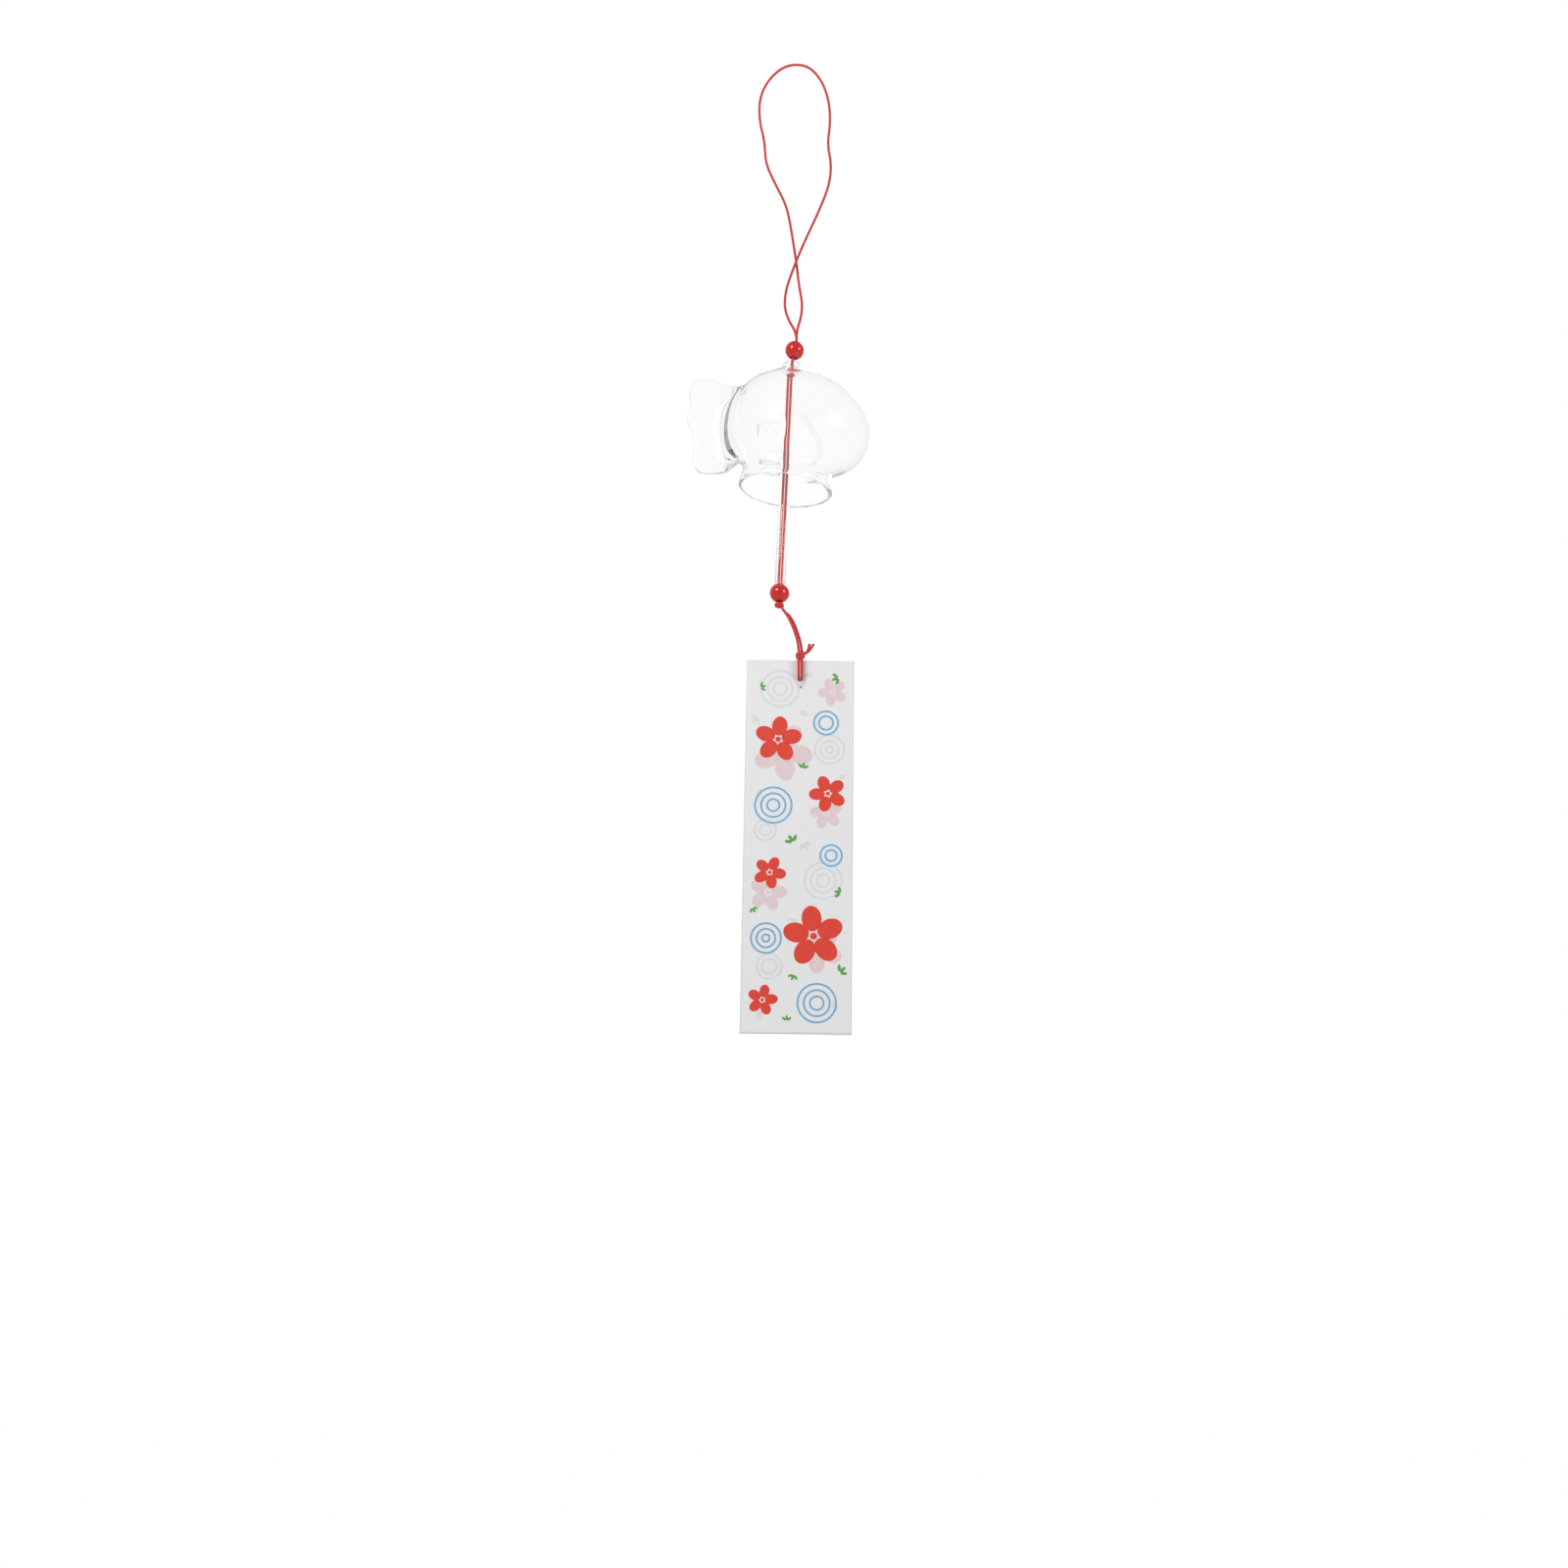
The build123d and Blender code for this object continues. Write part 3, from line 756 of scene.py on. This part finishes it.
melted = finish_of("melted_tip", Roughness=0.35)
shade(melted, mottle_on(melted, 900), (0.05, 0.004, 0.004), (0.22, 0.015, 0.012))
for name, route in (
    ("tie_end_front", ((0.6, -0.6, 0.0), (1.6, -1.0, 0.4), (3.2, -1.4, 1.5), (3.7, -1.3, 4.2))),
    ("tie_end_back", ((0.6, 0.4, 0.4), (1.8, 0.6, 1.0), (3.9, 0.9, 2.3), (5.2, 0.7, 4.8))),
):
    line = smooth_line(placed(tie_place, route))
    braid("cord_" + name, line, "tie", name)
    tip = bmesh.new()
    bmesh.ops.create_uvsphere(tip, u_segments=20, v_segments=12, radius=tip_radius * mm)
    bmesh.ops.scale(tip, vec=tip_squash, verts=tip.verts)
    bmesh.ops.translate(tip, vec=line[-1], verts=tip.verts)
    piece_from("melted_" + name, tip, melted, "tie")

# Paper strip: a slip of thin satin card with a round hole near its top edge, cut to
# shape and hung by the tie, for the wind to turn. It is curled a little across and
# bowed a little along.
paper_width = 43.0
paper_length = 150.0
paper_thickness = 0.35
paper_curl = 0.35
paper_bend = 0.5
hole_radius = 2.0
hole_drop = 9.0
hole_cut = 3.0
hole_edge_within = 8


def paper_bow(x, z):
    """How far the card bows out of its plane, in millimetres."""
    curl = paper_curl * (x / (paper_width / 2)) ** 2
    return curl + paper_bend * math.sin(math.pi * (z - hole_drop) / paper_length)


card_finish = finish_of("satin_card", Roughness=0.42, Coat_Weight=0.15, Coat_Roughness=0.3)
pulp = mottle_on(card_finish, 900, detail=4)
shade(card_finish, pulp, (0.84, 0.835, 0.84), (0.90, 0.895, 0.90))
emboss(card_finish, pulp, strength=0.12, height=0.03)

paper_place = hung_at((2.179, 0, -280.704), lean=0.8)
sheet = bmesh.new()
bmesh.ops.create_grid(
    sheet, x_segments=round(paper_width), y_segments=round(paper_length), size=0.5
)
bmesh.ops.scale(sheet, vec=(paper_width, paper_length, 1), verts=sheet.verts)
bmesh.ops.translate(sheet, vec=(0, hole_drop - paper_length / 2, 0), verts=sheet.verts)
middles = [(face, face.calc_center_median()) for face in sheet.faces]
cut_away = [face for face, at in middles if abs(at.x) < hole_cut and abs(at.y) < hole_cut]
bmesh.ops.delete(sheet, geom=cut_away, context="FACES")
opening = [
    e for e in sheet.edges
    if e.is_boundary
    and all(abs(v.co.x) < hole_edge_within and abs(v.co.y) < hole_edge_within for v in e.verts)
]
circle = bmesh.ops.create_circle(sheet, radius=hole_radius, segments=len(opening))["verts"]
hole_edges = list({e for v in circle for e in v.link_edges})
bmesh.ops.bridge_loops(sheet, edges=opening + hole_edges)
for vert in sheet.verts:
    x, z = vert.co.x, vert.co.y
    vert.co = Vector((x, paper_bow(x, z), z)) * mm
bmesh.ops.transform(sheet, matrix=paper_place, verts=sheet.verts)
strip = piece_from("printed_strip", sheet, card_finish, "strip")
thickness = strip.modifiers.new("card_thickness", "SOLIDIFY")
thickness.thickness = paper_thickness * mm
thickness.offset = 0
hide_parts("paper_strip")

# Print: red blossoms, blue rings on water and small green leaves, in three inks on
# both faces of the card. The print of the other face shows faintly through.
print_proud = 0.03
petal_reach, petal_length, petal_width = 0.58, 0.42, 0.325
blossom_heart = 0.11
ring_width = 0.75
leaf_spread, leaf_length, leaf_width = 50, 0.75, 0.36
# Blossoms and leaves: across, up from the hole, radius and turn. Rings: across, up
# from the hole, and the radii.
blossoms = (
    (-8.5, -24.0, 9.5, 12),
    (11.5, -46.0, 7.5, 40),
    (-11.0, -78.0, 6.5, 65),
    (6.5, -103.0, 12.0, 25),
    (-13.0, -128.0, 6.0, 5),
)
water_rings = (
    (10.5, -17.0, (5.2, 3.2)),
    (-10.0, -51.0, (7.6, 5.2, 2.8)),
    (13.0, -71.0, (4.6, 2.6)),
    (-12.0, -104.0, (6.2, 4.0, 1.8)),
    (8.0, -129.0, (7.8, 5.4, 3.0)),
)
leaf_groups = (
    (15.5, 2.0, 1.7, 200),
    (-16.0, -2.5, 1.4, 20),
    (1.5, -36.0, 1.5, 80),
    (-2.0, -66.0, 1.9, 120),
    (17.0, -86.0, 1.6, 160),
    (-17.5, -92.0, 1.3, 300),
    (-1.0, -118.0, 1.4, 250),
    (16.5, -117.0, 1.8, 40),
    (-3.5, -136.0, 1.3, 90),
)


def ink(name, colour):
    """Printing ink, a little glossier than the card, mottled where it was laid thin."""
    material = finish_of(name, Roughness=0.38, Coat_Weight=0.1)
    thin = [0.9 * c for c in colour]
    full = [min(1, 1.08 * c) for c in colour]
    shade(material, mottle_on(material, 500), thin, full)
    return material


def disc(mesh, x, z, long, wide, turn=0.0):
    """A filled oval of ink."""
    oval = bmesh.ops.create_circle(mesh, cap_ends=True, cap_tris=True, radius=1, segments=28)
    size = Matrix.Diagonal((long, wide, 1, 1))
    at = Matrix.Translation((x, z, 0)) @ Matrix.Rotation(math.radians(turn), 4, "Z")
    bmesh.ops.transform(mesh, matrix=at @ size, verts=oval["verts"])


def ring_line(mesh, x, z, radius):
    """A thin ring of ink."""
    loops = []
    for reach in (radius, radius - ring_width):
        loops.append(bmesh.ops.create_circle(mesh, radius=reach, segments=56)["verts"])
    edges = {e for loop in loops for v in loop for e in v.link_edges}
    bmesh.ops.bridge_loops(mesh, edges=list(edges))
    bmesh.ops.translate(mesh, vec=(x, z, 0), verts=[v for loop in loops for v in loop])


def blossom(mesh, x, z, radius, turn):
    """Five rounded petals with the card showing between them, and a heart."""
    for petal in range(5):
        angle = turn + 72 * petal
        reach = petal_reach * radius
        across = x + reach * math.cos(math.radians(angle))
        up = z + reach * math.sin(math.radians(angle))
        disc(mesh, across, up, petal_length * radius, petal_width * radius, angle)
    disc(mesh, x, z, blossom_heart * radius, blossom_heart * radius)


def leaves(mesh, x, z, radius, turn):
    """Three small pointed leaves from one stalk."""
    for leaf in (-leaf_spread, 0, leaf_spread):
        angle = turn + leaf
        across = x + radius * math.cos(math.radians(angle))
        up = z + radius * math.sin(math.radians(angle))
        disc(mesh, across, up, leaf_length * radius, leaf_width * radius, angle)


def printed(name, mesh, material, face, lift_share):
    """Lays a flat print on the near (-1) or far (1) face of the card."""
    for vert in mesh.verts:
        x, z = vert.co.x, vert.co.y
        lift = face * (paper_thickness / 2 + print_proud * lift_share)
        vert.co = Vector((x, paper_bow(x, z) + lift, z)) * mm
    bmesh.ops.transform(mesh, matrix=paper_place, verts=mesh.verts)
    data = bpy.data.meshes.new(name)
    bmesh.ops.recalc_face_normals(mesh, faces=mesh.faces)
    for patch in mesh.faces:
        if patch.normal.y * face < 0:
            patch.normal_flip()
    mesh.to_mesh(data)
    mesh.free()
    data.materials.append(material)
    piece = bpy.data.objects.new(name, data)
    bpy.context.collection.objects.link(piece)
    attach(piece, "strip")


inks = (
    ink("red_ink", (0.80, 0.055, 0.03)),
    ink("blue_ink", (0.20, 0.46, 0.70)),
    ink("green_ink", (0.13, 0.42, 0.09)),
)
pale_inks = (
    ink("pale_red_through_card", (0.82, 0.66, 0.68)),
    ink("pale_blue_through_card", (0.74, 0.77, 0.81)),
    ink("pale_green_through_card", (0.75, 0.78, 0.74)),
)
middle = hole_drop - paper_length / 2
for face, side, name, way, lift_share, colours in (
    (-1, "front", "", 1, 1.0, inks),
    (-1, "front", "through_", -1, 0.4, pale_inks),
    (1, "back", "", -1, 1.0, inks),
    (1, "back", "through_", 1, 0.4, pale_inks),
):
    drawn = [bmesh.new() for _ in colours]
    turned_by = 90 * (1 - way)
    for x, z, radius, turn in blossoms:
        blossom(drawn[0], way * x, middle + way * (z - middle), radius, turn + turned_by)
    for x, z, radii in water_rings:
        for radius in radii:
            ring_line(drawn[1], way * x, middle + way * (z - middle), radius)
    for x, z, radius, turn in leaf_groups:
        leaves(drawn[2], way * x, middle + way * (z - middle), radius, turn + turned_by)
    for motif, mesh, colour in zip(("blossoms_", "water_rings_", "leaves_"), drawn, colours):
        printed(motif + name + side, mesh, colour, face, lift_share)
